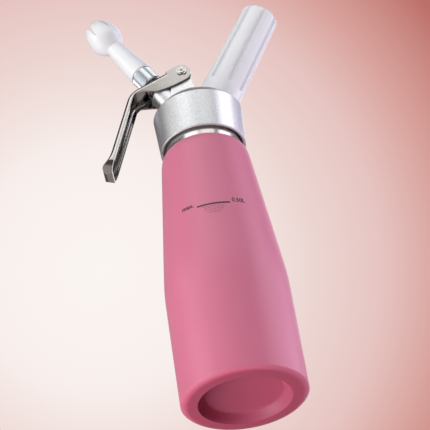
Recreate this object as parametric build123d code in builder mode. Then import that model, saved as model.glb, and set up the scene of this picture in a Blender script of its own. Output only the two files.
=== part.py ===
from build123d import *
import math
import os

# Whipped cream dispenser with a squeeze lever, a screwed head, a decorating
# nozzle and a gas charger holder. Millimetres, +Z up along the bottle axis,
# origin at the centre of the ring that the bottle stands on. +X is the side of
# the charger holder, -X the side of the lever and the nozzle, and the lever's
# pivot lies along Y.

os.makedirs("parts", exist_ok=True)

# ---------------------------------------------------------------- dimensions
# Sizes that can be set by themselves come first in each group; those that
# follow from them are worked out below, in the block of derived sizes.

# bottle
body_radius = 40.0
bottle_wall = 1.5
heel_width = 4.5
heel_height = 2.3
stand_width = 6.0
recess_mouth_inset = 1.5
recess_mouth_height = 1.4
recess_wall_width = 3.0
recess_corner_height = 5.6
recess_crown = 1.8
recess_mouth_round = 2.0
recess_corner_round = 1.6
cone_start_height = 83.0
cone_length = 92.8
cone_end_radius = 30.4
body_bend_radius = 190.0
shoulder_rise = 11.2
neck_radius = 26.0
neck_land_length = 6.4
neck_step = 1.3
neck_thread_length = 17.6
neck_wall = 2.1
neck_thread_depth = 1.2
neck_thread_pitch = 4.0
neck_thread_turns = 2.5
neck_thread_lead = 3.1
thread_sink = 0.4

# head casting
collar_gap = 5.5
crown_rise = 10.3
collar_clearance = 0.45
collar_wall = 2.55
collar_flare = 1.6
edge_break = 0.7
bore_chamfer = 1.2
seam_width = 0.5
seam_depth = 0.45
dome_step = 0.4
dome_radius = 36.0
gasket_height = 2.4
gasket_round = 0.5
gasket_inset = 0.3
seat_gap = 0.1
cavity_lip = 2.1
cavity_height = 4.2
cavity_slope = 3.0
valve_lean = 30.0
valve_meet_depth = 14.5
holder_lean = 30.5
holder_meet_depth = 14.3
ear_radius = 6.0
ear_back = 6.4
ear_clearance = 0.5
ear_drop = 12.0
ear_lip = 0.7

# valve side, lengths measured along the leaning valve axis
valve_boss_height = 43.8
spring_well_depth = 10.8
spring_clearance = 0.5
boss_wall = 1.3
boss_root_depth = 7.0
valve_bore_radius = 6.5
valve_bore_depth = 12.5
guide_length = 12.0
seat_lip = 1.3
seat_chamber_depth = 5.0
stem_radius = 3.9
stem_wall = 1.5
stem_core_radius = 2.0
stem_step = 0.6
stem_floor = 2.0
stem_foot_stand_out = 0.35
cross_hole_radius = 0.9
sliding_fit = 0.05
seal_fit = 0.03
seal_clearance = 0.4
seal_thickness = 3.0
seal_round = 0.4
nut_radius = 4.6
nut_thickness = 2.6
guide_seal_rise = 7.6
guide_seal_section = 1.5
spring_wire = 1.3
spring_radius = 7.2
cap_overhang = 0.1
cap_rise = 6.95
cap_thickness = 1.5
cap_crown_radius = 34.0
cap_collar_length = 1.6
cap_collar_clearance = 0.3

# knurled adapter and nozzle
adapter_gap = 4.65
adapter_length = 12.9
adapter_radius = 8.2
adapter_fit = 0.1
knurl_teeth = 54
knurl_depth = 0.4
adapter_land = 1.1
stem_hold = 7.5
spigot_radius = 6.0
spigot_wall = 2.0
nozzle_seal_thickness = 1.2
nozzle_seal_margin = 0.4
nozzle_foot_step = 0.15
nozzle_waist_radius = 6.0
nozzle_cone_length = 31.3
nozzle_cone_swell = 0.25
waist_step = 0.45
waist_step_length = 0.7
nozzle_neck_length = 1.357
ball_radius = 11.65
tooth_reach = 14.4
mouth_blunting = 3.2
nozzle_wall = 1.6
slit_count = 6
slit_phase = 33.0
slit_half_angle = 14.5
slit_rise = 0.5
slit_foot_width = 0.4

# lever, in-plane lengths measured along and out from its two straight runs
pivot_beside = 18.99
pivot_below_cap = 6.06
boss_clearance = 0.3
lever_sheet = 1.2
web_offset = 4.8
web_slope = 23.7
web_start = 9.5
plate_drop = 7.1
plate_nose = 5.9
plate_nose_drop = 2.4
plate_foot = 1.7
plate_foot_drop = 7.5
cheek_reach = 15.7
cheek_drop = 6.4
arch_start_reach = 22.6
arch_start_drop = 4.8
arch_end_reach = 27.0
arch_end_drop = 1.7
inner_bend_reach = 22.5
handle_slope = 69.5
handle_depth = 4.0
handle_rim_offset = 27.9
handle_bulge = 3.3
handle_length = 90.6
swell_length = 14.0
peak_length = 4.6
tip_rise = 4.0
tip_cut = 3.2
tip_radius = 3.5
peak_radius = 3.6
swell_radius = 26.0
bend_radius = 16.0
inner_bend_radius = 4.0
arch_end_radius = 7.0
arch_start_radius = 4.0
lever_edge_radius = 3.2
lever_hole_radius = 4.75
lever_hole_length = 12.6
lever_hole_height = 6.0
pin_radius = 2.4
pin_stand_out = 1.5
pin_chamfer = 0.4
pin_dimple_radius = 0.9
clip_gap = 0.2
clip_groove_depth = 0.4
clip_width = 1.0
clip_thickness = 0.7
clip_mouth = 2.2

# charger side, lengths measured along the leaning holder axis
foot_height = 28.5
foot_sink = 0.2
spot_face_margin = 0.5
inlet_root_radius = 7.0
inlet_root_length = 12.5
inlet_hole_length = 7.5
stub_radius = 10.9
stub_thread_depth = 0.7
stub_length = 9.1
stub_thread_lead = 2.2
stub_thread_pitch = 2.0
stub_thread_turns = 3.0
socket_radius = 5.0
socket_rise = 2.5
inlet_seal_thickness = 1.5
inlet_passage_radius = 1.6
check_pocket_radius = 5.0
check_pocket_depth = 3.0
check_valve_thickness = 1.8
check_valve_lift = 0.4
piercer_radius = 1.1
piercer_bore_radius = 0.5
piercer_stand_out = 5.4
piercer_point = 1.4
piercer_root_rise = 4.0
charger_gap = 0.1
charger_length = 65.0
charger_radius = 9.0
charger_neck_radius = 4.4
charger_neck_length = 7.0
charger_shoulder_length = 8.0
charger_wall = 2.0
charger_mouth_radius = 1.5
holder_end_wall = 7.5
holder_foot_radius = 14.7
holder_top_radius = 13.3
holder_thread_clearance = 0.3
holder_thread_length = 9.5
holder_bore_clearance = 0.5
pad_thickness = 3.0
pad_clearance = 0.3
pad_lip = 1.0
flute_count = 8
flute_width = 4.6
flute_depth = 1.9
flute_start = 10.5
notch_count = 24
notch_width = 1.2
notch_height = 0.8
notch_depth = 0.8

# ------------------------------------------------------------ derived sizes
stand_outer_radius = body_radius - heel_width
stand_inner_radius = stand_outer_radius - stand_width
recess_mouth_radius = stand_inner_radius - recess_mouth_inset
recess_corner_radius = recess_mouth_radius - recess_wall_width
recess_crown_height = recess_corner_height + recess_crown
cone_end_height = cone_start_height + cone_length
cone_lean = math.atan((body_radius - cone_end_radius) / cone_length)
bend_reach = body_bend_radius * math.tan(cone_lean / 2)
shoulder_height = cone_end_height + shoulder_rise
neck_land_height = shoulder_height + neck_land_length
neck_top_height = neck_land_height + neck_thread_length
thread_root_radius = neck_radius - neck_step
thread_crest_radius = thread_root_radius + neck_thread_depth
neck_bore_radius = thread_root_radius - neck_wall
neck_thread_start = neck_land_height + neck_thread_lead

collar_bottom = shoulder_height + collar_gap
collar_top = neck_top_height + crown_rise
collar_bore_radius = neck_radius + collar_clearance
collar_bottom_radius = collar_bore_radius + collar_wall
collar_top_radius = collar_bottom_radius + collar_flare
dome_rim_radius = collar_top_radius - dome_step
dome_centre = collar_top - math.sqrt(dome_radius**2 - dome_rim_radius**2)
gasket_bottom = neck_top_height + seat_gap
ceiling = gasket_bottom + gasket_height + seat_gap
cavity_top = ceiling + cavity_height
cavity_radius = neck_bore_radius - cavity_lip
valve_meet = collar_top - valve_meet_depth
holder_meet = collar_top - holder_meet_depth

spring_well_radius = spring_radius + spring_clearance
valve_boss_radius = spring_well_radius + boss_wall
spring_well_height = valve_boss_height - spring_well_depth
seat_height = spring_well_height - guide_length
seat_chamber_radius = valve_bore_radius - seat_lip
seal_radius = valve_bore_radius - seal_clearance
seal_top = seat_height - sliding_fit
nut_top = seal_top - seal_thickness
stem_foot_height = nut_top - nut_thickness - stem_foot_stand_out
stem_step_height = seat_height + stem_step
stem_bore_radius = stem_radius - stem_wall
core_top = stem_step_height + stem_floor
guide_seal_height = seat_height + guide_seal_rise
cap_top_height = valve_boss_height + cap_rise
cap_bottom = cap_top_height - cap_thickness
cap_radius = spring_radius + cap_overhang
adapter_bottom = cap_top_height + adapter_gap
adapter_top = adapter_bottom + adapter_length
stem_top_height = adapter_bottom + stem_hold
nozzle_seal_bottom = stem_top_height + 2 * seat_gap
spigot_bottom = nozzle_seal_bottom + nozzle_seal_thickness + seat_gap
nozzle_foot_radius = adapter_radius + nozzle_foot_step
nozzle_waist_height = adapter_top + nozzle_cone_length
nozzle_neck_radius = nozzle_waist_radius - waist_step
neck_drop = math.sqrt(ball_radius**2 - nozzle_neck_radius**2)
ball_centre_height = nozzle_waist_height + nozzle_neck_length + neck_drop
tooth_tip_height = ball_centre_height + tooth_reach
ball_top_stretch = tooth_reach + mouth_blunting
slit_bottom_height = ball_centre_height + slit_rise

lever_half_inside = valve_boss_radius + boss_clearance
lever_half = lever_half_inside + lever_sheet
lever_width = 2 * lever_half
ear_half_width = lever_half_inside - ear_clearance
plate_top_offset = web_offset + lever_sheet
bulge_start = handle_length - swell_length
bulge_peak = handle_length - peak_length

inlet_root_height = foot_height - inlet_root_length
inlet_hole_height = inlet_root_height - inlet_hole_length
spot_face_radius = holder_foot_radius + spot_face_margin
stub_top = foot_height + stub_length
stub_crest_radius = stub_radius + stub_thread_depth
socket_floor = foot_height + socket_rise
piercer_top = socket_floor + piercer_stand_out
piercer_bottom = inlet_root_height + piercer_root_rise
charger_bottom = socket_floor + inlet_seal_thickness + charger_gap
charger_top = charger_bottom + charger_length
pad_top = charger_top + pad_thickness
bore_top = pad_top + pad_clearance
holder_top = bore_top + holder_end_wall
holder_bore_radius = charger_radius + holder_bore_clearance
holder_thread_radius = stub_crest_radius + holder_thread_clearance
holder_thread_top = foot_height + holder_thread_length


# ------------------------------------------------------------------- frames
def leaning(angle, foot):
    """The plane square to an axis that leans from +Z towards +X, from its foot on the bottle axis."""
    lean = math.radians(angle)
    direction = Vector(math.sin(lean), 0, math.cos(lean))
    across = Vector(math.cos(lean), 0, -math.sin(lean))
    return Plane(origin=Vector(0, 0, foot), x_dir=across, z_dir=direction)


def section(plane, *points):
    """A face through the plane's axis, from a closed outline of (radius, height) points."""
    across = Plane(plane.origin, x_dir=plane.x_dir, z_dir=plane.x_dir.cross(plane.z_dir))
    with BuildSketch(across) as half:
        with BuildLine():
            Polyline(*points, close=True)
        make_face()
    return half.sketch


def sleeve(plane, inner, outer, bottom, top):
    """The section of a plain ring."""
    return section(plane, (inner, bottom), (outer, bottom), (outer, top), (inner, top))


def axis_of(plane):
    return Axis(plane.origin, plane.z_dir)


def thread_ridge(plane, root, crest, pitch, turns, bottom):
    """A right-hand helical ridge, its foot sunk a little below the root radius."""
    start = plane.origin + plane.z_dir * bottom
    with BuildPart() as ridge:
        with BuildLine() as path:
            Helix(pitch, pitch * turns, root, center=start, direction=plane.z_dir)
        line = path.line
        with BuildSketch(Plane(line @ 0, x_dir=(line @ 0 - start).normalized(), z_dir=line % 0)):
            with BuildLine():
                Polyline(
                    (-thread_sink, -pitch * 0.3),
                    (crest - root, -pitch * 0.12),
                    (crest - root, pitch * 0.12),
                    (-thread_sink, pitch * 0.3),
                    close=True,
                )
            make_face()
        sweep(path=line, is_frenet=True)
    return ridge.part


upright = Plane.XY
valve = leaning(-valve_lean, valve_meet)
holder = leaning(holder_lean, holder_meet)
upright_axis = axis_of(upright)
valve_axis = axis_of(valve)
holder_axis = axis_of(holder)


def save(part, name):
    """Name a finished piece and write it."""
    part.label = name
    export_step(part, f"parts/{name}.step")


# ------------------------------------------------------------------- bottle
neck_thread = thread_ridge(
    upright, thread_root_radius, thread_crest_radius,
    neck_thread_pitch, neck_thread_turns, neck_thread_start,
)


def bend_ends(radius):
    """Where the bend from the straight side, at this radius, to the cone starts and ends."""
    low = (radius, cone_start_height - bend_reach)
    high = (
        radius - bend_reach * math.sin(cone_lean),
        cone_start_height + bend_reach * math.cos(cone_lean),
    )
    return low, high


with BuildPart() as bottle:
    with BuildSketch(Plane.XZ):
        with BuildLine():
            heel = (body_radius, heel_height)
            stand = (stand_outer_radius, 0)
            ThreePointArc(stand, (body_radius - 1.75, 0.75), heel)
            side_top, cone_foot = bend_ends(body_radius)
            Line(heel, side_top)
            TangentArc(side_top, cone_foot, tangent=(0, 1))
            Line(cone_foot, (cone_end_radius, cone_end_height))
            Bezier(
                (cone_end_radius, cone_end_height),
                (cone_end_radius - 0.5, cone_end_height + 5.5),
                (cone_end_radius - 1.4, shoulder_height - 0.6),
                (neck_radius, shoulder_height),
            )
            inner_cone_end = cone_end_radius - bottle_wall
            Polyline(
                (neck_radius, shoulder_height),
                (neck_radius, neck_land_height),
                (thread_root_radius, neck_land_height + 0.6),
                (thread_root_radius, neck_top_height - 0.6),
                (thread_root_radius - 0.6, neck_top_height),
                (neck_bore_radius, neck_top_height),
                (neck_bore_radius, shoulder_height - bottle_wall),
            )
            Bezier(
                (neck_bore_radius, shoulder_height - bottle_wall),
                (inner_cone_end - 1.4, shoulder_height - bottle_wall - 0.6),
                (inner_cone_end - 0.5, cone_end_height + 4.5),
                (inner_cone_end, cone_end_height),
            )
            inner_top, inner_foot = bend_ends(body_radius - bottle_wall)
            Line((inner_cone_end, cone_end_height), inner_foot)
            TangentArc(inner_top, inner_foot, tangent=(0, 1))
            floor_corner = heel_height + 2 * bottle_wall
            Polyline(
                inner_top,
                (body_radius - bottle_wall, floor_corner),
                (stand_outer_radius - 0.5, bottle_wall),
                (stand_inner_radius, bottle_wall + 0.3),
                (recess_corner_radius + bottle_wall, recess_corner_height + bottle_wall),
                (0, recess_crown_height + bottle_wall),
                (0, recess_crown_height),
                (recess_corner_radius, recess_corner_height),
                (recess_mouth_radius, recess_mouth_height),
                (stand_inner_radius, 0.0),
                stand,
            )
        make_face()
    revolve(axis=upright_axis)
    mouth = bottle.edges().filter_by(GeomType.CIRCLE).filter_by_position(
        Axis.Z, recess_mouth_height - 0.01, recess_mouth_height + 0.01
    )
    fillet(mouth, radius=recess_mouth_round)
    corner = bottle.edges().filter_by(GeomType.CIRCLE).filter_by_position(
        Axis.Z, recess_corner_height - 0.01, recess_corner_height + 0.01
    )
    fillet(corner, radius=recess_corner_round)
    add(neck_thread)
save(bottle.part, "bottle")

# -------------------------------------------------------------- head gasket
with BuildPart() as head_gasket:
    ring = sleeve(
        upright, neck_bore_radius, collar_bore_radius - gasket_inset,
        gasket_bottom, gasket_bottom + gasket_height,
    )
    revolve(ring, axis=upright_axis)
    fillet(head_gasket.edges(), radius=gasket_round)
save(head_gasket.part, "head_gasket")

# ---------------------------------------------------------------- head body
pivot = valve.origin + valve.x_dir * pivot_beside + valve.z_dir * (cap_top_height - pivot_below_cap)
pivot_x = pivot.X
pivot_z = pivot.Z
pivot_plane = Plane(origin=pivot, x_dir=(1, 0, 0), z_dir=(0, -1, 0))
ear_outline_left = spring_well_radius + ear_lip


def valve_point(across, height):
    """Where a point beside the valve axis lies in the XZ plane."""
    place = valve.origin + valve.x_dir * across + valve.z_dir * height
    return (place.X, place.Z)


with BuildPart() as head_body:
    with BuildSketch(Plane.XZ):
        with BuildLine():
            rim = (dome_rim_radius, collar_top)
            crown = (0, dome_centre + dome_radius)
            RadiusArc(rim, crown, -dome_radius)
            Polyline(
                crown,
                (0, cavity_top),
                (cavity_radius - cavity_slope, cavity_top),
                (cavity_radius, ceiling),
                (collar_bore_radius, ceiling),
                (collar_bore_radius, collar_bottom + bore_chamfer),
                (collar_bore_radius + 1.0, collar_bottom),
                (collar_bottom_radius - edge_break, collar_bottom),
                (collar_bottom_radius, collar_bottom + edge_break),
                (collar_top_radius, collar_top - seam_width),
                (collar_top_radius - seam_depth, collar_top - seam_width),
                rim,
            )
        make_face()
    revolve(axis=upright_axis)
    # boss for the valve
    boss = sleeve(valve, 0, valve_boss_radius, seat_height - boss_root_depth, valve_boss_height)
    revolve(boss, axis=valve_axis)
    # ear that carries the lever
    with BuildSketch(Plane.XZ):
        with BuildLine():
            top_left = (pivot_x - ear_radius, pivot_z)
            top_right = (pivot_x + ear_radius, pivot_z)
            ThreePointArc(top_left, (pivot_x, pivot_z + ear_radius), top_right)
            Polyline(
                top_right,
                (pivot_x + ear_back, pivot_z - ear_drop),
                (pivot_x + ear_back + 1.5, cavity_top + 2),
                valve_point(0, valve_boss_height - ear_drop),
                valve_point(ear_outline_left, valve_boss_height),
                top_left,
            )
        make_face()
    extrude(amount=ear_half_width, both=True)
    # flat seat for the charger holder
    spot_face = sleeve(holder, 0, spot_face_radius, foot_height - foot_sink, 2 * foot_height)
    revolve(spot_face, axis=holder_axis, mode=Mode.SUBTRACT)
    # bores of the valve
    revolve(
        sleeve(valve, 0, spring_well_radius, spring_well_height, valve_boss_height + 1),
        axis=valve_axis, mode=Mode.SUBTRACT,
    )
    revolve(
        sleeve(valve, 0, valve_bore_radius, seat_height - valve_bore_depth, spring_well_height),
        axis=valve_axis, mode=Mode.SUBTRACT,
    )
    # bores of the gas inlet
    revolve(
        sleeve(holder, 0, inlet_root_radius, inlet_root_height, foot_height),
        axis=holder_axis, mode=Mode.SUBTRACT,
    )
    revolve(
        sleeve(holder, 0, inlet_passage_radius, inlet_hole_height, inlet_root_height),
        axis=holder_axis, mode=Mode.SUBTRACT,
    )
    # pivot hole
    with Locations(pivot_plane):
        Cylinder(pin_radius, 4 * ear_half_width, mode=Mode.SUBTRACT)
save(head_body.part, "head_body")

# ---------------------------------------------------------------- valve set
with BuildPart() as valve_guide:
    bush = section(
        valve,
        (stem_radius + sliding_fit, seat_height + seat_chamber_depth),
        (seat_chamber_radius, seat_height + seat_chamber_depth - 1.0),
        (seat_chamber_radius, seat_height),
        (valve_bore_radius, seat_height),
        (valve_bore_radius, spring_well_height),
        (stem_radius + sliding_fit, spring_well_height),
    )
    revolve(bush, axis=valve_axis)
    seal_groove = sleeve(
        valve, stem_radius, stem_radius + guide_seal_section,
        guide_seal_height, guide_seal_height + guide_seal_section + seat_gap,
    )
    revolve(seal_groove, axis=valve_axis, mode=Mode.SUBTRACT)
save(valve_guide.part, "valve_guide")

with BuildPart() as guide_seal:
    ring = sleeve(
        valve, stem_radius + seal_fit, stem_radius + guide_seal_section,
        guide_seal_height, guide_seal_height + guide_seal_section,
    )
    revolve(ring, axis=valve_axis)
    fillet(guide_seal.edges(), radius=0.5)
save(guide_seal.part, "guide_seal")

with BuildPart() as valve_stem:
    body = section(
        valve,
        (0, stem_foot_height),
        (stem_core_radius, stem_foot_height),
        (stem_core_radius, stem_step_height),
        (stem_radius, stem_step_height),
        (stem_radius, stem_top_height - 0.4),
        (stem_radius - 0.4, stem_top_height),
        (stem_bore_radius, stem_top_height),
        (stem_bore_radius, core_top),
        (0, core_top),
    )
    revolve(body, axis=valve_axis)
    for turn in (0, 90):
        with Locations(valve.offset(core_top + cross_hole_radius + 0.2)):
            Cylinder(cross_hole_radius, 3 * stem_radius, rotation=(90, 0, turn), mode=Mode.SUBTRACT)
save(valve_stem.part, "valve_stem")

with BuildPart() as valve_seal:
    disc = sleeve(
        valve, stem_core_radius, seal_radius, nut_top, seal_top,
    )
    revolve(disc, axis=valve_axis)
    fillet(valve_seal.edges().filter_by(GeomType.CIRCLE).sort_by(SortBy.RADIUS)[-2:], radius=seal_round)
save(valve_seal.part, "valve_seal")

with BuildPart() as valve_nut:
    with BuildSketch(valve.offset(nut_top - nut_thickness)):
        RegularPolygon(nut_radius, 6)
        Circle(stem_core_radius, mode=Mode.SUBTRACT)
    extrude(amount=nut_thickness)
save(valve_nut.part, "valve_nut")

with BuildPart() as spring_cap:
    crown_edge = cap_crown_radius - math.sqrt(cap_crown_radius**2 - cap_radius**2)
    disc = section(
        valve,
        (stem_radius, cap_bottom),
        (cap_radius, cap_bottom),
        (cap_radius, cap_top_height - crown_edge),
        (cap_radius * 0.75, cap_top_height - crown_edge * 0.56),
        (stem_radius, cap_top_height),
    )
    revolve(disc, axis=valve_axis)
    collar_ring = sleeve(
        valve, stem_radius, spring_radius - spring_wire - cap_collar_clearance,
        cap_bottom - cap_collar_length, cap_bottom,
    )
    revolve(collar_ring, axis=valve_axis)
save(spring_cap.part, "spring_cap")

with BuildPart() as valve_spring:
    coil = sleeve(
        valve, spring_radius - spring_wire, spring_radius, spring_well_height, cap_bottom
    )
    revolve(coil, axis=valve_axis)
save(valve_spring.part, "valve_spring")

# ------------------------------------------------------- adapter and nozzle
with BuildPart() as nozzle_adapter:
    with BuildSketch(valve.offset(adapter_bottom + adapter_land)):
        pitch_angle = 360 / knurl_teeth
        with BuildLine():
            crests = [
                (
                    (adapter_radius - knurl_depth * (step % 2))
                    * math.cos(math.radians(step * pitch_angle / 2)),
                    (adapter_radius - knurl_depth * (step % 2))
                    * math.sin(math.radians(step * pitch_angle / 2)),
                )
                for step in range(2 * knurl_teeth)
            ]
            Polyline(*crests, close=True)
        make_face()
    extrude(amount=adapter_top - adapter_bottom - 2 * adapter_land)
    lands = section(
        valve,
        (0, adapter_bottom),
        (adapter_radius - 1.0, adapter_bottom),
        (adapter_radius - knurl_depth, adapter_bottom + 0.6),
        (adapter_radius - knurl_depth, adapter_top - 0.4),
        (adapter_radius - 0.8, adapter_top),
        (0, adapter_top),
    )
    revolve(lands, axis=valve_axis)
    stem_socket = sleeve(valve, 0, stem_radius + adapter_fit, adapter_bottom - 1, adapter_top)
    revolve(stem_socket, axis=valve_axis, mode=Mode.SUBTRACT)
    nozzle_socket = sleeve(
        valve, 0, spigot_radius, stem_top_height + seat_gap, adapter_top + 1
    )
    revolve(nozzle_socket, axis=valve_axis, mode=Mode.SUBTRACT)
save(nozzle_adapter.part, "nozzle_adapter")

with BuildPart() as nozzle_seal:
    ring = sleeve(
        valve, stem_bore_radius + nozzle_seal_margin, spigot_radius - adapter_fit,
        nozzle_seal_bottom, nozzle_seal_bottom + nozzle_seal_thickness,
    )
    revolve(ring, axis=valve_axis)
save(nozzle_seal.part, "nozzle_seal")


def ball_outline(inset):
    """Radius of the ball's upper half against height, thinner by the inset."""
    steps = 12
    stretch = ball_top_stretch - inset
    reach = tooth_tip_height - ball_centre_height
    return [
        (
            (ball_radius - inset) * math.sqrt(1 - (reach * step / steps / stretch) ** 2),
            ball_centre_height + reach * step / steps,
        )
        for step in range(steps + 1)
    ]


with BuildPart() as decorating_nozzle:
    across = Plane(valve.origin, x_dir=valve.x_dir, z_dir=valve.x_dir.cross(valve.z_dir))
    inner_radius = ball_radius - nozzle_wall
    inner_neck = nozzle_neck_radius - nozzle_wall
    inner_drop = math.sqrt(inner_radius**2 - inner_neck**2)
    outer_tip = ball_outline(0)[-1]
    inner_tip = ball_outline(nozzle_wall)[-1]
    with BuildSketch(across):
        with BuildLine():
            waist = (nozzle_waist_radius, nozzle_waist_height)
            neck = (nozzle_neck_radius, ball_centre_height - neck_drop)
            Polyline(
                (spigot_radius - spigot_wall, spigot_bottom),
                (spigot_radius - 0.4, spigot_bottom),
                (spigot_radius, spigot_bottom + 0.4),
                (spigot_radius, adapter_top),
                (nozzle_foot_radius - 0.5, adapter_top),
                (nozzle_foot_radius, adapter_top + 0.5),
            )
            ThreePointArc(
                (nozzle_foot_radius, adapter_top + 0.5),
                (
                    (nozzle_foot_radius + nozzle_waist_radius) / 2 + nozzle_cone_swell,
                    (adapter_top + 0.5 + nozzle_waist_height) / 2,
                ),
                waist,
            )
            Polyline(waist, (nozzle_neck_radius, nozzle_waist_height + waist_step_length), neck)
            equator = (ball_radius, ball_centre_height)
            RadiusArc(neck, equator, -ball_radius)
            Spline(*ball_outline(0))
            Line(outer_tip, inner_tip)
            Spline(*reversed(ball_outline(nozzle_wall)))
            inner_equator = (inner_radius, ball_centre_height)
            inner_throat = (inner_neck, ball_centre_height - inner_drop)
            RadiusArc(inner_equator, inner_throat, inner_radius)
            Polyline(
                inner_throat,
                (inner_neck, nozzle_waist_height),
                (spigot_radius - spigot_wall, adapter_top + 2),
                (spigot_radius - spigot_wall, spigot_bottom),
            )
        make_face()
    revolve(axis=valve_axis)
    # pointed slits that open at the mouth
    for index in range(slit_count):
        heading = math.radians(slit_phase + index * 360 / slit_count)
        outward = valve.y_dir * -math.cos(heading) - valve.x_dir * math.sin(heading)
        sideways = valve.z_dir.cross(outward)
        slit_foot = valve.origin + valve.z_dir * slit_bottom_height
        rise = tooth_tip_height + 2 - slit_bottom_height
        half_mouth = outer_tip[0] * math.sin(math.radians(slit_half_angle)) * 1.12
        with BuildSketch(Plane(slit_foot, x_dir=sideways, z_dir=outward)):
            with BuildLine():
                mouth_left = (-half_mouth, rise)
                mouth_right = (half_mouth, rise)
                foot_left = (-slit_foot_width / 2, 0)
                foot_right = (slit_foot_width / 2, 0)
                Polyline(foot_left, foot_right, mouth_right, mouth_left, foot_left)
            make_face()
        extrude(amount=2 * ball_radius, mode=Mode.SUBTRACT)
save(decorating_nozzle.part, "decorating_nozzle")

# -------------------------------------------------------------------- lever
web_lean = math.radians(web_slope)
handle_lean = math.radians(handle_slope)
web_along = Vector(-math.cos(web_lean), 0, -math.sin(web_lean))
web_out = Vector(-math.sin(web_lean), 0, math.cos(web_lean))
handle_along = Vector(-math.cos(handle_lean), 0, -math.sin(handle_lean))
handle_out = Vector(-math.sin(handle_lean), 0, math.cos(handle_lean))


def on_web(along, out):
    """A point of the XZ plane beside the web, measured from the pivot."""
    place = pivot + web_along * along + web_out * out
    return (place.X, place.Z)


def on_handle(along, out):
    """A point of the XZ plane beside the handle, out from the line of its rims."""
    place = pivot + handle_along * along + handle_out * (out + handle_rim_offset)
    return (place.X, place.Z)


def meeting(inset):
    """Where the backs of the web and of the handle would meet."""
    step = handle_rim_offset + handle_depth - inset - (plate_top_offset - inset) * web_out.dot(handle_out)
    return on_web(step / web_along.dot(handle_out), plate_top_offset - inset)


def is_back(place, inset):
    """Whether an edge lies on the lever's closed back rather than on its open rim."""
    offset = place - pivot
    beside_web = offset.dot(web_out) > plate_top_offset - inset - 0.6 and offset.dot(web_along) > web_start
    beside_handle = offset.dot(handle_out) > handle_rim_offset + handle_depth * 0.62 - inset
    return (beside_web or beside_handle) and offset.dot(web_along) > web_start + 0.5


def lever_channel(inset):
    """The lever's channel as a filled shape, smaller by the inset on all closed sides."""
    below = -2.5 * inset
    with BuildPart() as channel:
        with BuildSketch(Plane.XZ) as side:
            corner = meeting(inset)
            swell = on_handle(bulge_start, handle_depth - inset)
            peak = on_handle(bulge_peak, handle_depth + handle_bulge - inset)
            tip = on_handle(handle_length - inset, tip_rise)
            rim_end = handle_length - inset - tip_cut * (1 - below / tip_rise)
            tip_rim = on_handle(rim_end, below)
            inner_bend = on_handle(inner_bend_reach, below)
            arch_end = on_web(arch_end_reach, below - arch_end_drop)
            arch_start = on_web(arch_start_reach, below - arch_start_drop)
            with BuildLine():
                Polyline(
                    on_web(web_start - inset, plate_top_offset - inset),
                    corner,
                    swell,
                    peak,
                    tip,
                    tip_rim,
                    inner_bend,
                    arch_end,
                    arch_start,
                    on_web(cheek_reach, below - cheek_drop),
                    on_web(web_start - inset, below - plate_drop),
                    close=True,
                )
            make_face()
            fillet(side.vertices().sort_by_distance(corner)[0], radius=bend_radius - inset)
            fillet(side.vertices().sort_by_distance(swell)[0], radius=swell_radius)
            fillet(side.vertices().sort_by_distance(peak)[0], radius=peak_radius - inset)
            fillet(side.vertices().sort_by_distance(tip)[0], radius=tip_radius - inset)
            fillet(side.vertices().sort_by_distance(inner_bend)[0], radius=inner_bend_radius)
            fillet(side.vertices().sort_by_distance(arch_end)[0], radius=arch_end_radius)
            fillet(side.vertices().sort_by_distance(arch_start)[0], radius=arch_start_radius)
        half = lever_half - inset
        extrude(amount=half, both=True)
        sides = channel.edges().filter_by_position(Axis.Y, half - 0.01, half + 0.01)
        sides += channel.edges().filter_by_position(Axis.Y, -half - 0.01, -half + 0.01)
        outer_backs = [edge for edge in sides if is_back(edge.center(), inset)]
        fillet(outer_backs, radius=lever_edge_radius - inset * 0.8)
    return channel.part


def tip_plan(inset):
    """The lever's outline seen square to the handle: straight sides and a half-round end."""
    top = handle_rim_offset + handle_depth + handle_bulge + 1
    start = pivot + handle_out * (top - handle_length)
    half = lever_half - inset
    centre = handle_length - tip_cut / 4 - lever_half
    with BuildPart() as plan:
        with BuildSketch(Plane(start, x_dir=handle_along, z_dir=handle_out)):
            with Locations(((centre - handle_length) / 2, 0)):
                Rectangle(centre + handle_length, 2 * half)
            with Locations((centre, 0)):
                Circle(half)
        extrude(amount=handle_length)
    return plan.part


outer_channel = lever_channel(0.0) & tip_plan(0.0)
inner_channel = lever_channel(lever_sheet) & tip_plan(lever_sheet)
with BuildPart() as lever:
    add(outer_channel)
    add(inner_channel, mode=Mode.SUBTRACT)
    # flat plates either side of the ear
    with BuildSketch(Plane.XZ):
        with BuildLine():
            top_start = on_web(web_start, plate_top_offset)
            top_end = on_web(0, plate_top_offset)
            nose = (pivot_x + plate_nose, pivot_z - plate_nose_drop)
            under = on_web(plate_foot, -plate_foot_drop)
            Line(top_start, top_end)
            ThreePointArc(top_end, nose, under)
            Line(under, on_web(web_start, -plate_drop))
            Line(on_web(web_start, -plate_drop), top_start)
        make_face()
    extrude(amount=lever_half, both=True)
    with BuildSketch(Plane(pivot + web_along * web_start, x_dir=(0, 1, 0), z_dir=-web_along)):
        Rectangle(2 * lever_half_inside, 2 * handle_length)
    extrude(amount=2 * handle_rim_offset, mode=Mode.SUBTRACT)
    # slot for the valve stem
    with BuildSketch(valve.offset(cap_bottom)):
        SlotOverall(lever_hole_length, 2 * lever_hole_radius)
    extrude(amount=lever_hole_height, mode=Mode.SUBTRACT)
    # pivot holes
    with Locations(pivot_plane):
        Cylinder(pin_radius + sliding_fit, 2 * lever_width, mode=Mode.SUBTRACT)
save(lever.part, "lever")

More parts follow.
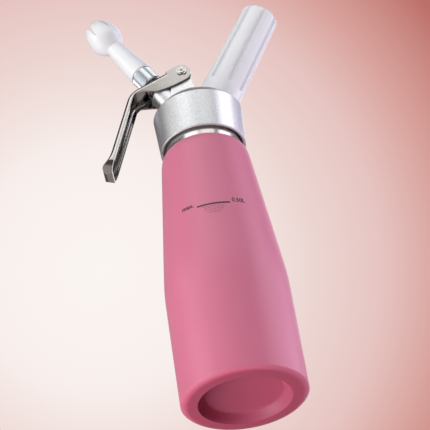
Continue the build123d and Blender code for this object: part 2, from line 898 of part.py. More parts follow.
# ---------------------------------------------------------------- lever pin
clip_face = lever_half + clip_gap
pin_half_length = lever_half + pin_stand_out
with BuildPart() as lever_pin:
    with BuildSketch(pivot_plane):
        Circle(pin_radius)
    extrude(amount=pin_half_length, both=True)
    chamfer(lever_pin.edges().filter_by(GeomType.CIRCLE), length=pin_chamfer)
    with Locations(pivot_plane.offset(pin_half_length), pivot_plane.offset(-pin_half_length)):
        Sphere(pin_dimple_radius, mode=Mode.SUBTRACT)
    with BuildSketch(pivot_plane.offset(clip_face), pivot_plane.offset(-clip_face - clip_thickness)):
        Circle(pin_radius + 0.1)
        Circle(pin_radius - clip_groove_depth, mode=Mode.SUBTRACT)
    extrude(amount=clip_thickness, mode=Mode.SUBTRACT)
save(lever_pin.part, "lever_pin")

with BuildPart() as pin_clips:
    with BuildSketch(pivot_plane.offset(clip_face), pivot_plane.offset(-clip_face - clip_thickness)):
        Circle(pin_radius + clip_width)
        Circle(pin_radius - clip_groove_depth, mode=Mode.SUBTRACT)
        with Locations((0, -pin_radius - clip_width)):
            Rectangle(clip_mouth, 2.6 * clip_width, mode=Mode.SUBTRACT)
    extrude(amount=clip_thickness)
save(pin_clips.part, "pin_clips")

# ------------------------------------------------------------ gas inlet set
stub_thread = thread_ridge(
    holder, stub_radius, stub_crest_radius,
    stub_thread_pitch, stub_thread_turns, foot_height + stub_thread_lead,
)
with BuildPart() as inlet_body:
    outline = section(
        holder,
        (piercer_radius, piercer_bottom),
        (piercer_radius, socket_floor),
        (socket_radius, socket_floor),
        (socket_radius, stub_top - 0.6),
        (socket_radius + 0.6, stub_top),
        (stub_radius - 0.6, stub_top),
        (stub_radius, stub_top - 0.6),
        (stub_radius, foot_height - foot_sink),
        (inlet_root_radius, foot_height - foot_sink),
        (inlet_root_radius, inlet_root_height),
        (check_pocket_radius, inlet_root_height),
        (check_pocket_radius, inlet_root_height + check_pocket_depth),
        (piercer_radius, inlet_root_height + check_pocket_depth),
    )
    revolve(outline, axis=holder_axis)
    add(stub_thread)
save(inlet_body.part, "inlet_body")

with BuildPart() as check_valve:
    disc = section(
        holder,
        (0, inlet_root_height + check_valve_lift),
        (check_pocket_radius, inlet_root_height + check_valve_lift),
        (check_pocket_radius, inlet_root_height + check_valve_lift + check_valve_thickness),
        (0.9, inlet_root_height + check_valve_lift + check_valve_thickness),
        (0, inlet_root_height + 0.9),
    )
    revolve(disc, axis=holder_axis)
save(check_valve.part, "check_valve")

with BuildPart() as piercing_pin:
    needle = section(
        holder,
        (piercer_bore_radius, piercer_bottom),
        (piercer_radius, piercer_bottom),
        (piercer_radius, piercer_top - piercer_point),
        (piercer_bore_radius, piercer_top),
    )
    revolve(needle, axis=holder_axis)
save(piercing_pin.part, "piercing_pin")

with BuildPart() as inlet_seal:
    ring = sleeve(
        holder, piercer_radius + 0.2, socket_radius, socket_floor, socket_floor + inlet_seal_thickness
    )
    revolve(ring, axis=holder_axis)
save(inlet_seal.part, "inlet_seal")

# -------------------------------------------------------------- gas charger
with BuildPart() as gas_charger:
    across = Plane(holder.origin, x_dir=holder.x_dir, z_dir=holder.x_dir.cross(holder.z_dir))
    shoulder_bottom = charger_bottom + charger_neck_length
    with BuildSketch(across):
        with BuildLine():
            shell = charger_radius - charger_wall
            shoulder = (charger_radius, shoulder_bottom + charger_shoulder_length)
            inner_shoulder = (shell, shoulder_bottom + charger_shoulder_length + 0.6)
            Polyline(
                (charger_mouth_radius, charger_bottom + charger_wall),
                (charger_mouth_radius, charger_bottom),
                (charger_neck_radius - 0.5, charger_bottom),
                (charger_neck_radius, charger_bottom + 0.5),
                (charger_neck_radius, shoulder_bottom),
            )
            Bezier(
                (charger_neck_radius, shoulder_bottom),
                (charger_neck_radius, shoulder_bottom + 3),
                (charger_radius, shoulder_bottom + 3.5),
                shoulder,
            )
            Line(shoulder, (charger_radius, charger_top - charger_radius))
            RadiusArc((charger_radius, charger_top - charger_radius), (0, charger_top), -charger_radius)
            Line((0, charger_top), (0, charger_top - charger_wall))
            RadiusArc((0, charger_top - charger_wall), (shell, charger_top - charger_radius), shell)
            Line((shell, charger_top - charger_radius), inner_shoulder)
            Bezier(
                inner_shoulder,
                (shell, shoulder_bottom + 4.5),
                (charger_neck_radius - charger_wall, shoulder_bottom + 3.5),
                (charger_neck_radius - charger_wall, shoulder_bottom + 0.5),
            )
            Polyline(
                (charger_neck_radius - charger_wall, shoulder_bottom + 0.5),
                (charger_neck_radius - charger_wall, charger_bottom + charger_wall),
                (charger_mouth_radius, charger_bottom + charger_wall),
            )
        make_face()
    revolve(axis=holder_axis)
save(gas_charger.part, "gas_charger")

# ------------------------------------------------------------ charger holder
with BuildPart() as charger_holder:
    taper = (holder_foot_radius - holder_top_radius) / (holder_top - foot_height)
    shell = section(
        holder,
        (holder_thread_radius + 0.5, foot_height),
        (holder_foot_radius - 0.3, foot_height),
        (holder_foot_radius, foot_height + 0.3),
        (holder_top_radius + taper * 1.6, holder_top - 1.6),
        (holder_top_radius - 0.5, holder_top - 0.5),
        (holder_top_radius - 1.7, holder_top),
        (0, holder_top),
        (0, bore_top),
        (holder_bore_radius, bore_top),
        (holder_bore_radius, holder_thread_top + 2.4),
        (holder_thread_radius, holder_thread_top),
        (holder_thread_radius, foot_height + 0.5),
    )
    revolve(shell, axis=holder_axis)
    # round-bottomed flutes that run out at the closed end
    cutter = (flute_width**2 / 4 + flute_depth**2) / (2 * flute_depth)
    for index in range(flute_count):
        heading = math.radians((index + 0.5) * 360 / flute_count)
        outward = holder.x_dir * math.cos(heading) + holder.y_dir * math.sin(heading)
        reach = cutter - flute_depth
        low = (
            holder.origin
            + holder.z_dir * (foot_height + flute_start + cutter)
            + outward * (holder_foot_radius - taper * flute_start + reach)
        )
        high = holder.origin + holder.z_dir * (holder_top + 2) + outward * (holder_top_radius + reach)
        run = high - low
        with BuildSketch(Plane(low, z_dir=run)):
            Circle(cutter)
        extrude(amount=run.length, mode=Mode.SUBTRACT)
        with Locations(low):
            Sphere(cutter, mode=Mode.SUBTRACT)
    # fine notches around the foot
    with BuildSketch(holder.offset(foot_height)):
        with PolarLocations(holder_foot_radius, notch_count):
            Rectangle(2 * notch_depth, notch_width)
    extrude(amount=notch_height, mode=Mode.SUBTRACT)
save(charger_holder.part, "charger_holder")

with BuildPart() as holder_pad:
    cup = section(
        holder,
        (0, charger_top),
        (charger_radius * 0.55, charger_top),
        (charger_radius * 0.55, charger_top - pad_lip),
        (holder_bore_radius - pad_clearance, charger_top - pad_lip),
        (holder_bore_radius - pad_clearance, pad_top),
        (0, pad_top),
    )
    revolve(cup, axis=holder_axis)
save(holder_pad.part, "holder_pad")
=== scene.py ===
# %% [markdown]
# # A whipped cream dispenser
# The metal and plastic solids come from the CAD model as a fixed frame. This
# lesson gives each of them its finish, adds the few pieces that are easier to
# make here than in CAD (the coiled spring and the printed filling mark), and
# sets up the studio: camera, backdrop, table and soft lights.

# %% Load the frame
import math
import bpy
from mathutils import Matrix, Vector


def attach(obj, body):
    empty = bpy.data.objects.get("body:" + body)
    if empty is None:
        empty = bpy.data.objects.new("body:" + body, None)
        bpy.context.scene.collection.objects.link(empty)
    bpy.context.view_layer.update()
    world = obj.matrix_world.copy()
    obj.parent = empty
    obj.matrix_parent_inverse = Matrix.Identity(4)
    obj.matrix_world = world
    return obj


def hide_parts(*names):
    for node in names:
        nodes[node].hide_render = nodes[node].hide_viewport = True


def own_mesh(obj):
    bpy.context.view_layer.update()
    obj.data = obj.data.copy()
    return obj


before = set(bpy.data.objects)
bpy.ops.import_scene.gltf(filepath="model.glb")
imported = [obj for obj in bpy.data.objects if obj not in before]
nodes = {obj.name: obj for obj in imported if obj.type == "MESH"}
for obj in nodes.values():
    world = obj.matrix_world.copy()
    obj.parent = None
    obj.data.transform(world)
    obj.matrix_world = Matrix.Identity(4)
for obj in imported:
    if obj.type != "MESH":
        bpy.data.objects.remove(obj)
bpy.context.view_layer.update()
bpy.ops.object.select_all(action="DESELECT")
mm = 0.001
print("loaded", len(nodes), "CAD nodes")

# %% [markdown]
# ## Camera
# The bottle hangs above the camera: it is seen from the front and from 34
# degrees below, with a long lens from a little over a metre away, and the
# camera is rolled so that the bottle leans. Placing a camera is easiest in
# three steps: stand it somewhere, turn it to a target, then roll it. The plain
# view transform shows a colour just as it was mixed, which suits a bright
# product shot with a painted backdrop.

# %% Camera
camera_place = Vector((0.6, -921.9, -489.3)) * mm
camera_target = Vector((0.4, 0.0, 139.1)) * mm
camera_roll = math.radians(-9.54)
lens_length = 142.33
sensor_width = 36.0
aim = (camera_target - camera_place).to_track_quat("-Z", "Y").to_matrix()
bpy.ops.object.camera_add(
    location=camera_place, rotation=(aim @ Matrix.Rotation(camera_roll, 3, "Z")).to_euler()
)
camera = bpy.context.object
camera.data.sensor_width = sensor_width
camera.data.lens = lens_length
bpy.context.scene.camera = camera
bpy.context.scene.view_settings.view_transform = "Standard"
print("camera stands", round((camera_target - camera_place).length, 3), "m from the bottle")

# %% [markdown]
# ## Two helpers for materials
# Colours are written as the hex values a painter reads off a screen, and one
# function turns them into the linear values that a shader works with. Another
# adds a node with its settings and its links, so that a material reads as a
# short list of nodes from first to last. Nearly all of a noise lies between
# 0.3 and 0.7, so a roughness is spread over that part of it.

# %% Material helpers
noise_low, noise_high = 0.3, 0.7


def linear(colour):
    """An sRGB hex colour as linear red, green, blue and alpha."""
    parts = [int(colour[i:i + 2], 16) / 255 for i in (1, 3, 5)]
    return [c / 12.92 if c <= 0.04045 else ((c + 0.055) / 1.055) ** 2.4 for c in parts] + [1.0]


def add(tree, kind, inputs=None, **settings):
    """Adds a node. An input is a value, or the socket that it is linked from."""
    made = tree.nodes.new(kind)
    for name, value in settings.items():
        setattr(made, name, value)
    for name, value in (inputs or {}).items():
        if isinstance(value, bpy.types.NodeSocket):
            tree.links.new(value, made.inputs[name])
        else:
            made.inputs[name].default_value = value
    return made


def start_material(name):
    """An empty material with its output and its Object coordinates."""
    material = bpy.data.materials.new(name)
    material.use_nodes = True
    tree = material.node_tree
    tree.nodes.clear()
    output = tree.nodes.new("ShaderNodeOutputMaterial")
    place = tree.nodes.new("ShaderNodeTexCoord").outputs["Object"]
    return material, tree, output.inputs["Surface"], place


def finish_nodes(material, *names):
    """Gives CAD nodes their material."""
    for name in names:
        nodes[name].data.materials.clear()
        nodes[name].data.materials.append(material)
    print(material.name, "on", ", ".join(names))


# %% [markdown]
# ## Powder-coated aluminium
# The bottle is a drawn aluminium shell. Its outside is powder coated: paint
# baked from dry powder, which leaves a matte skin with a very fine orange-peel
# grain and a faint pale sheen at grazing angles. The coat stops in a sharp line
# just under the neck, where the metal is left bare and polished. One material
# covers both, with a mask made from the height: below the line it is paint,
# above it metal. A wave texture repeats every pi / 10 of its scaled length,
# which gives the scale of the lathe's lines.

# %% Powder coat
paint_edge = 187.6 * mm
grain_size = 0.7 * mm
drift_size = 40.0 * mm
turning_step = 0.35 * mm
coat, tree, surface, place = start_material("powder_coated_aluminium")
height = add(tree, "ShaderNodeSeparateXYZ", {"Vector": place}).outputs["Z"]
bare = add(tree, "ShaderNodeMath", {0: height, 1: paint_edge}, operation="GREATER_THAN")
grain = add(tree, "ShaderNodeTexNoise", {"Vector": place, "Scale": 1 / grain_size, "Detail": 3.0})
drift = add(tree, "ShaderNodeTexNoise", {"Vector": place, "Scale": 1 / drift_size, "Detail": 1.0})
paint_shade = add(
    tree, "ShaderNodeMix",
    {"Factor": drift.outputs["Fac"], "A": linear("#CF708E"), "B": linear("#D37695")},
    data_type="RGBA",
)
paint_rough = add(
    tree, "ShaderNodeMapRange",
    {
        "Value": grain.outputs["Fac"], "From Min": noise_low, "From Max": noise_high,
        "To Min": 0.38, "To Max": 0.5,
    },
)
turning = add(
    tree, "ShaderNodeTexWave",
    {"Vector": place, "Scale": math.pi / 10 / turning_step, "Distortion": 0.5},
    wave_type="BANDS", bands_direction="Z",
)
metal_rough = add(
    tree, "ShaderNodeMapRange", {"Value": turning.outputs["Fac"], "To Min": 0.16, "To Max": 0.3}
)
colour = add(
    tree, "ShaderNodeMix",
    {"Factor": bare.outputs[0], "A": paint_shade.outputs["Result"], "B": linear("#B9B6B4")},
    data_type="RGBA",
)
rough = add(
    tree, "ShaderNodeMix",
    {"Factor": bare.outputs[0], "A": paint_rough.outputs["Result"], "B": metal_rough.outputs["Result"]},
)
bump = add(
    tree, "ShaderNodeBump",
    {"Height": grain.outputs["Fac"], "Strength": 0.25, "Distance": 0.06 * mm},
)
shader = add(
    tree, "ShaderNodeBsdfPrincipled",
    {
        "Base Color": colour.outputs["Result"], "Metallic": bare.outputs[0],
        "Roughness": rough.outputs["Result"], "Normal": bump.outputs["Normal"], "IOR": 1.5,
        "Sheen Weight": 0.22, "Sheen Roughness": 0.35,
    },
)
tree.links.new(shader.outputs["BSDF"], surface)
finish_nodes(coat, "bottle")

# %% [markdown]
# ## Anodised aluminium
# The head is a casting that was blasted with fine beads and then anodised. The
# beads leave a dense field of tiny dents, so the metal is bright but never
# mirrors, and it sparkles a little where light grazes it. Real dents are a
# tenth of a millimetre wide, too fine to show, so they are drawn coarser. The
# dome and the ear above the collar's seam are smoother.

# %% Satin head
seam_height = 221.0 * mm
bead_size = 1.0 * mm
flat_level = 0.5
satin, tree, surface, place = start_material("bead_blasted_anodised_aluminium")
height = add(tree, "ShaderNodeSeparateXYZ", {"Vector": place}).outputs["Z"]
upper = add(tree, "ShaderNodeMath", {0: height, 1: seam_height}, operation="GREATER_THAN")
beads = add(tree, "ShaderNodeTexNoise", {"Vector": place, "Scale": 1 / bead_size, "Detail": 4.0})
dent = add(
    tree, "ShaderNodeMix", {"Factor": upper.outputs[0], "A": beads.outputs["Fac"], "B": flat_level}
)
satin_rough = add(
    tree, "ShaderNodeMapRange",
    {
        "Value": beads.outputs["Fac"], "From Min": noise_low, "From Max": noise_high,
        "To Min": 0.36, "To Max": 0.46,
    },
)
bead_tone = add(
    tree, "ShaderNodeMapRange", {"Value": beads.outputs["Fac"], "From Min": 0.35, "From Max": 0.65}
)
satin_colour = add(
    tree, "ShaderNodeMix",
    {"Factor": bead_tone.outputs["Result"], "A": linear("#BEC2C4"), "B": linear("#D8DADB")},
    data_type="RGBA",
)
bump = add(
    tree, "ShaderNodeBump", {"Height": dent.outputs["Result"], "Strength": 0.45, "Distance": 0.1 * mm}
)
shader = add(
    tree, "ShaderNodeBsdfPrincipled",
    {
        "Base Color": satin_colour.outputs["Result"], "Metallic": 1.0,
        "Roughness": satin_rough.outputs["Result"], "Normal": bump.outputs["Normal"],
    },
)
tree.links.new(shader.outputs["BSDF"], surface)
finish_nodes(satin, "head_body")

# %% [markdown]
# ## Metals that are polished, turned or plated
# The lever is stainless steel, polished until it mirrors its surroundings, with
# faint lines left by the wheel. The adapter, the threaded inlet and the small
# steel pieces are turned, which leaves them a little duller. They differ only
# in tone, in roughness and in the size of the tool marks, so one function makes
# them all. Most real marks are finer than these, which are drawn to show.

# %% Metal finishes
def metal(name, dark, light, smooth, dull, mark_size, depth):
    """A bare metal with fine tool marks of a given size and depth."""
    made, tree, surface, place = start_material(name)
    marks = add(tree, "ShaderNodeTexNoise", {"Vector": place, "Scale": 1 / mark_size, "Detail": 3.0})
    tone = add(
        tree, "ShaderNodeMix",
        {"Factor": marks.outputs["Fac"], "A": linear(dark), "B": linear(light)}, data_type="RGBA",
    )
    rough = add(
        tree, "ShaderNodeMapRange",
        {
            "Value": marks.outputs["Fac"], "From Min": noise_low, "From Max": noise_high,
            "To Min": smooth, "To Max": dull,
        },
    )
    bump = add(
        tree, "ShaderNodeBump", {"Height": marks.outputs["Fac"], "Strength": 0.1, "Distance": depth}
    )
    shader = add(
        tree, "ShaderNodeBsdfPrincipled",
        {
            "Base Color": tone.outputs["Result"], "Metallic": 1.0,
            "Roughness": rough.outputs["Result"], "Normal": bump.outputs["Normal"],
        },
    )
    tree.links.new(shader.outputs["BSDF"], surface)
    return made


polished = metal("polished_stainless_steel", "#908E8B", "#A29F9B", 0.1, 0.14, 3.0 * mm, 0.0015 * mm)
turned = metal("turned_aluminium", "#A3A8AD", "#B4B9BE", 0.2, 0.28, 0.25 * mm, 0.01 * mm)
stainless = metal("stainless_steel", "#A3A19E", "#B8B6B2", 0.18, 0.28, 1.0 * mm, 0.02 * mm)
plated = metal("zinc_plated_steel", "#B5B8BD", "#CBCED2", 0.2, 0.32, 1.5 * mm, 0.02 * mm)
finish_nodes(polished, "lever")
finish_nodes(turned, "nozzle_adapter", "inlet_body")
finish_nodes(stainless, "lever_pin", "pin_clips", "valve_stem", "valve_nut", "spring_cap", "piercing_pin")
finish_nodes(plated, "gas_charger")

# %% [markdown]
# ## Plastics and silicone
# The nozzle and the charger holder are injection-moulded polypropylene: white,
# with a satin skin, and slightly translucent, so light bleeds a little under
# the surface. The bush around the stem is white acetal, which is harder and
# glossier. Seals and pads are milky silicone rubber.

# %% Plastic finishes
def plastic(name, shade, tint, rough_low, rough_high, depth_of_light, skin_size, index):
    """A moulded plastic or rubber with a fine skin and a little light under it."""
    made, tree, surface, place = start_material(name)
    skin = add(tree, "ShaderNodeTexNoise", {"Vector": place, "Scale": 1 / skin_size, "Detail": 2.0})
    tone = add(
        tree, "ShaderNodeMix",
        {"Factor": skin.outputs["Fac"], "A": linear(shade), "B": linear(tint)}, data_type="RGBA",
    )
    rough = add(
        tree, "ShaderNodeMapRange",
        {
            "Value": skin.outputs["Fac"], "From Min": noise_low, "From Max": noise_high,
            "To Min": rough_low, "To Max": rough_high,
        },
    )
    bump = add(
        tree, "ShaderNodeBump", {"Height": skin.outputs["Fac"], "Strength": 0.1, "Distance": 0.02 * mm}
    )
    shader = add(
        tree, "ShaderNodeBsdfPrincipled",
        {
            "Base Color": tone.outputs["Result"], "Roughness": rough.outputs["Result"],
            "Normal": bump.outputs["Normal"], "IOR": index,
            "Subsurface Weight": 0.05, "Subsurface Scale": depth_of_light,
            "Subsurface Radius": (1.0, 0.95, 0.9),
        },
    )
    tree.links.new(shader.outputs["BSDF"], surface)
    return made


white_plastic = plastic("moulded_polypropylene", "#E9EDF1", "#F0F4F7", 0.3, 0.38, 1.5 * mm, 0.6 * mm, 1.49)
acetal = plastic("turned_acetal", "#E4E4E0", "#EDEDEA", 0.22, 0.3, 1.0 * mm, 0.8 * mm, 1.48)
silicone = plastic("silicone_rubber", "#D6D2C9", "#E0DCD3", 0.5, 0.6, 2.0 * mm, 0.5 * mm, 1.41)
finish_nodes(white_plastic, "decorating_nozzle", "charger_holder")
finish_nodes(acetal, "valve_guide")
finish_nodes(
    silicone, "head_gasket", "guide_seal", "valve_seal", "nozzle_seal",
    "check_valve", "inlet_seal", "holder_pad",
)

# %% [markdown]
# ## The valve spring
# A compression spring pushes the valve shut and the lever back. It is a round
# wire wound into a helix, so it is made as one: a circle the size of the wire,
# swept by the Screw modifier. The spring stands upright at first and is then
# leaned onto the valve's axis. In the real head it shortens as the lever is
# squeezed; this one keeps its length and is attached to the head.

# %% Valve spring
valve_foot = Vector((0.0, 0.0, 206.8)) * mm
valve_lean = math.radians(-30.0)
wire_radius = 0.62 * mm
coil_radius = 6.5 * mm
spring_bottom = 33.1 * mm
spring_top = 49.1 * mm
spring_turns = 4.5
wire_sides = 14
steps_per_turn = 28
bpy.ops.mesh.primitive_circle_add(
    vertices=wire_sides, radius=wire_radius, location=(coil_radius, 0, spring_bottom + wire_radius),
    rotation=(math.pi / 2, 0, 0),
)
spring = bpy.context.object
spring.name = "valve_spring_coil"
bpy.ops.object.transform_apply(location=True, rotation=True, scale=True)
winding = spring.modifiers.new("winding", "SCREW")
winding.axis = "Z"
winding.angle = spring_turns * 2 * math.pi
winding.screw_offset = spring_top - spring_bottom - 2 * wire_radius
winding.steps = int(spring_turns * steps_per_turn)
winding.render_steps = winding.steps
bpy.ops.object.modifier_apply(modifier="winding")
bpy.ops.object.mode_set(mode="EDIT")
bpy.ops.mesh.select_all(action="SELECT")
bpy.ops.mesh.fill_holes(sides=0)
bpy.ops.mesh.normals_make_consistent(inside=False)
bpy.ops.object.mode_set(mode="OBJECT")
spring.rotation_euler = (0, valve_lean, 0)
spring.location = valve_foot
bpy.ops.object.transform_apply(location=True, rotation=True, scale=True)
bpy.ops.object.shade_smooth_by_angle(angle=math.radians(50))
spring.data.materials.append(stainless)
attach(spring, "head")
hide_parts("valve_spring")
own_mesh(spring)
print("spring has", len(spring.data.polygons), "faces")

# %% [markdown]
# ## The filling mark
# A thin print on the front of the bottle shows how far it may be filled: a bold
# line with a word on its left and the capacity on its right, and a few rows of
# fine dashes under it. Every part of the print is first made flat, as a mesh
# whose x is the distance around the bottle and whose z is the height. Then one
# function wraps it onto the cone.

# %% Print helpers
ink_gap = 0.02 * mm
ink_thickness = 0.03 * mm
cone_start, cone_end = 83.0 * mm, 175.8 * mm
cone_radius_start, cone_radius_end = 40.0 * mm, 30.4 * mm
line_height = 123.9 * mm
bend_step = 0.8 * mm


def cone_radius(height):
    """The bottle's radius at a height on its cone."""
    share = (height - cone_start) / (cone_end - cone_start)
    return cone_radius_start + share * (cone_radius_end - cone_radius_start)


around = cone_radius(line_height)


def wrap(piece, lift):
    """Bends a flat mesh around the cone: x becomes an angle, z stays the height."""
    for vertex in piece.data.vertices:
        angle = vertex.co.x / around
        radius = cone_radius(vertex.co.z) + lift - vertex.co.y
        vertex.co = (radius * math.sin(angle), -radius * math.cos(angle), vertex.co.z)


def flat_bar(left, right, height, thickness):
    """A flat strip from left to right around the bottle, cut so that it can bend."""
    pieces = max(2, round((right - left) / bend_step))
    bpy.ops.mesh.primitive_grid_add(
        x_subdivisions=pieces, y_subdivisions=1, size=1, rotation=(math.pi / 2, 0, 0),
        location=((left + right) / 2, 0, height),
    )
    bar = bpy.context.object
    bar.scale = (right - left, thickness, 1)
    bpy.ops.object.transform_apply(location=True, rotation=True, scale=True)
    return bar


# %% [markdown]
# The bold line runs a little further to the right than to the left. Each row of
# dashes under it is shorter than the row above, as a liquid's surface is drawn.
# The drops and half widths of the rows are in millimetres.

# %% Filling line and dashes
degree = around * math.pi / 180
line_left, line_right = -16.4 * degree, 18.2 * degree
line_thickness = 1.15 * mm
bars = [flat_bar(line_left, line_right, line_height, line_thickness)]
dash_length, dash_thickness = 1.9 * mm, 0.16 * mm
dash_step = 2.6 * mm
dashes_middle = 0.6 * mm
row_count = 5
first_drop, row_drop = 1.7, 1.35
first_half_width, row_narrowing = 8.6, 1.05
for row in range(row_count):
    row_height = line_height - (first_drop + row_drop * row) * mm
    half_width = (first_half_width - row_narrowing * row) * mm
    count = int(2 * half_width / dash_step)
    for index in range(count):
        middle = (index - (count - 1) / 2) * dash_step + dashes_middle
        left, right = middle - dash_length / 2, middle + dash_length / 2
        bars.append(flat_bar(left, right, row_height, dash_thickness))
print(len(bars), "strips of the filling mark")

# %% [markdown]
# The two words are text turned into meshes. Each is set by its left and right
# end, in degrees around the bottle, and by the height of its foot in millimetres.

# %% Words of the filling mark
word_places = (("max.", -33.9, -20.2, 125.0), ("0.50L", 20.6, 35.4, 124.6))
letter_size = 4.6 * mm
boldness = 0.07 * mm
words = []
for text, left, right, bottom in word_places:
    bpy.ops.object.text_add(location=(0, 0, 0), rotation=(math.pi / 2, 0, 0))
    word = bpy.context.object
    word.data.body = text
    word.data.size = letter_size
    word.data.offset = boldness
    word.data.resolution_u = 3
    bpy.ops.object.convert(target="MESH")
    width = word.dimensions.x
    word.scale.x = (right - left) * degree / width
    word.location = (left * degree, 0, bottom * mm)
    bpy.ops.object.transform_apply(location=True, rotation=True, scale=True)
    words.append(word)
print("words", [word.dimensions[:] for word in words])

# %% [markdown]
# The strips and words become one mesh, which is bent onto the cone and given the
# thickness of a coat of screen-printing ink: black, slightly glossy, a little
# uneven.

# %% Join, wrap and thicken the print
speck_size = 0.4 * mm
bpy.ops.object.select_all(action="DESELECT")
for piece in bars + words:
    piece.select_set(True)
bpy.context.view_layer.objects.active = bars[0]
bpy.ops.object.join()
mark = bpy.context.object
mark.name = "filling_mark"
wrap(mark, ink_gap)
ink_coat = mark.modifiers.new("ink", "SOLIDIFY")
ink_coat.thickness = ink_thickness
ink_coat.offset = 1.0
bpy.ops.object.modifier_apply(modifier="ink")
ink, tree, surface, place = start_material("screen_printing_ink")
speck = add(tree, "ShaderNodeTexNoise", {"Vector": place, "Scale": 1 / speck_size, "Detail": 2.0})
tone = add(
    tree, "ShaderNodeMix",
    {"Factor": speck.outputs["Fac"], "A": linear("#10070B"), "B": linear("#1E0F14")}, data_type="RGBA",
)
shader = add(tree, "ShaderNodeBsdfPrincipled", {"Base Color": tone.outputs["Result"], "Roughness": 0.45})
tree.links.new(shader.outputs["BSDF"], surface)
mark.data.materials.clear()
mark.data.materials.append(ink)
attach(mark, "bottle")
print("mark has", len(mark.data.polygons), "faces")

# %% [markdown]
# ## Backdrop and table
# The backdrop is a painted sky around the whole set: nearly white behind the
# bottle's left side, and a deeper pink towards the upper right. It is drawn
# with light of its own, so it needs no lamp and throws no shadow, and it is
# hidden from reflections. The table under the bottle is pale from above and
# clear from below, like a sheet of one-way glass, because this bottle is
# looked at from under it. Away from the bottle it fades into the backdrop. The
# brightest spot is given in pixels right of and above the picture's middle, and
# the stages of the sky by how far they lie from it, as a share of the radius.

# %% Backdrop
backdrop_radius = 4.0
picture_width = 430
bright_right, bright_up = -115, -55
bpy.ops.mesh.primitive_uv_sphere_add(
    segments=96, ring_count=48, radius=backdrop_radius, location=camera_place
)
backdrop = bpy.context.object
backdrop.name = "backdrop"
bpy.ops.object.shade_smooth()
sky, tree, surface, place = start_material("painted_backdrop")
pixel = sensor_width / lens_length / picture_width
bright_ray = Vector((bright_right * pixel, bright_up * pixel, -1.0)).normalized()
bright_spot = camera.rotation_euler.to_matrix() @ bright_ray * backdrop_radius
away = add(tree, "ShaderNodeVectorMath", {0: place, 1: bright_spot}, operation="DISTANCE")
reach = add(
    tree, "ShaderNodeMapRange", {"Value": away.outputs["Value"], "From Max": backdrop_radius}
)
shades = add(tree, "ShaderNodeValToRGB", {"Fac": reach.outputs["Result"]})
stops = shades.color_ramp.elements
tones = (
    (0.0, "#FBF5F2"), (0.07, "#F8EFEC"), (0.12, "#EDD8D4"), (0.165, "#E6C4C1"),
    (0.2, "#D9A39D"), (0.245, "#BD6F69"), (0.3, "#C98A84"), (0.5, "#E9CFCA"), (1.0, "#F0DDD8"),
)
stops[0].position, stops[1].position = tones[0][0], tones[-1][0]
stops[0].color, stops[1].color = linear(tones[0][1]), linear(tones[-1][1])
for position, tone in tones[1:-1]:
    stops.new(position).color = linear(tone)
shader = add(tree, "ShaderNodeEmission", {"Color": shades.outputs["Color"], "Strength": 1.0})
tree.links.new(shader.outputs["Emission"], surface)
backdrop.data.materials.append(sky)
backdrop.visible_diffuse = False
backdrop.visible_glossy = False
backdrop.visible_shadow = False

# %% Table
table_fade_start, table_fade_end = 0.3, 1.3
table_gap = 0.2 * mm
bpy.ops.mesh.primitive_circle_add(
    vertices=96, radius=table_fade_end, fill_type="NGON", location=(0, 0, -table_gap)
)
table = bpy.context.object
table.name = "table"
glass, tree, surface, place = start_material("one_way_table")
side = add(tree, "ShaderNodeNewGeometry").outputs["Backfacing"]
outward = add(tree, "ShaderNodeVectorMath", {0: place}, operation="LENGTH").outputs["Value"]
fade = add(
    tree, "ShaderNodeMapRange",
    {"Value": outward, "From Min": table_fade_start, "From Max": table_fade_end},
    interpolation_type="SMOOTHSTEP",
)
gone = add(tree, "ShaderNodeMath", {0: side, 1: fade.outputs["Result"]}, operation="MAXIMUM")
top = add(tree, "ShaderNodeBsdfPrincipled", {"Base Color": linear("#F1E4E0"), "Roughness": 0.6})
clear = add(tree, "ShaderNodeBsdfTransparent")
shader = add(
    tree, "ShaderNodeMixShader",
    {0: gone.outputs[0], 1: top.outputs["BSDF"], 2: clear.outputs["BSDF"]},
)
tree.links.new(shader.outputs["Shader"], surface)
table.data.materials.append(glass)
table.visible_shadow = False

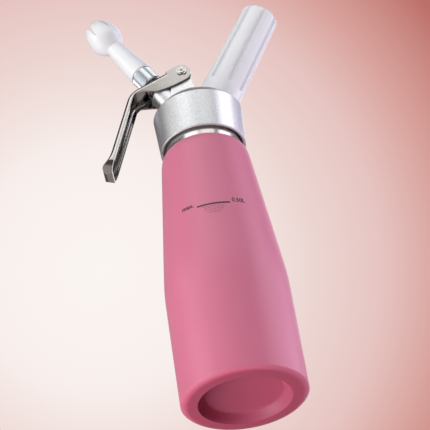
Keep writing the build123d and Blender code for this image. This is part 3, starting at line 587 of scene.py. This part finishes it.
# %% [markdown]
# ## Soft studio light
# Seven soft boxes stand in a ring around the bottle, each placed by the direction
# that it shines from: how far it is turned to the right of the front, and how
# high it stands. A pair on the left, one of them low, draws the wide bright band
# down the left side and fills the hollow base. A pair on the right lifts that
# edge towards lilac. Two weaker ones above the front give the collar its soft
# bands, and one behind lights the back.

# %% Lights
light_target = Vector((0.0, 0.0, 0.16))
light_distance = 1.3
light_width = 0.8


def soft_box(name, turned, raised, power, colour):
    """A square area light that faces the bottle, from a direction given in degrees."""
    turned, raised = math.radians(turned), math.radians(raised)
    away = Vector((
        math.cos(raised) * math.sin(turned), -math.cos(raised) * math.cos(turned), math.sin(raised),
    ))
    bpy.ops.object.light_add(
        type="AREA", location=light_target + away * light_distance,
        rotation=away.to_track_quat("Z", "Y").to_euler(),
    )
    light = bpy.context.object
    light.name = name
    light.data.shape = "SQUARE"
    light.data.size = light_width
    light.data.energy = power
    light.data.color = linear(colour)[:3]


soft_box("low_key", -75, -40, 9.2, "#FFFFFF")
soft_box("key", -65, 10, 6.2, "#FFFDFB")
soft_box("front_left", -28, 45, 4.8, "#FFFFFF")
soft_box("front_right", 20, 45, 3.6, "#FFFFFF")
soft_box("edge", 75, 27, 6.0, "#F8F4FF")
soft_box("rim", 110, 10, 7.6, "#EAE2FF")
soft_box("back", 170, 42, 3.5, "#FFFFFF")

# %% [markdown]
# The room itself is nearly dark, so the metal keeps its dark streaks. Where a
# shiny surface mirrors it, the room is a little brighter, as pale walls would be,
# so the polished lever is not black from behind.

# %% Room
room_glow, mirrored_glow = 0.05, 0.2
world = bpy.data.worlds.new("studio")
bpy.context.scene.world = world
world.use_nodes = True
room = world.node_tree
mirrored = add(room, "ShaderNodeLightPath").outputs["Is Glossy Ray"]
glow = add(
    room, "ShaderNodeMapRange",
    {"Value": mirrored, "To Min": room_glow, "To Max": mirrored_glow},
)
room.nodes["Background"].inputs["Color"].default_value = linear("#E9DAD8")
room.links.new(glow.outputs["Result"], room.nodes["Background"].inputs["Strength"])
print("room glow", room_glow, "and", mirrored_glow, "in reflections")
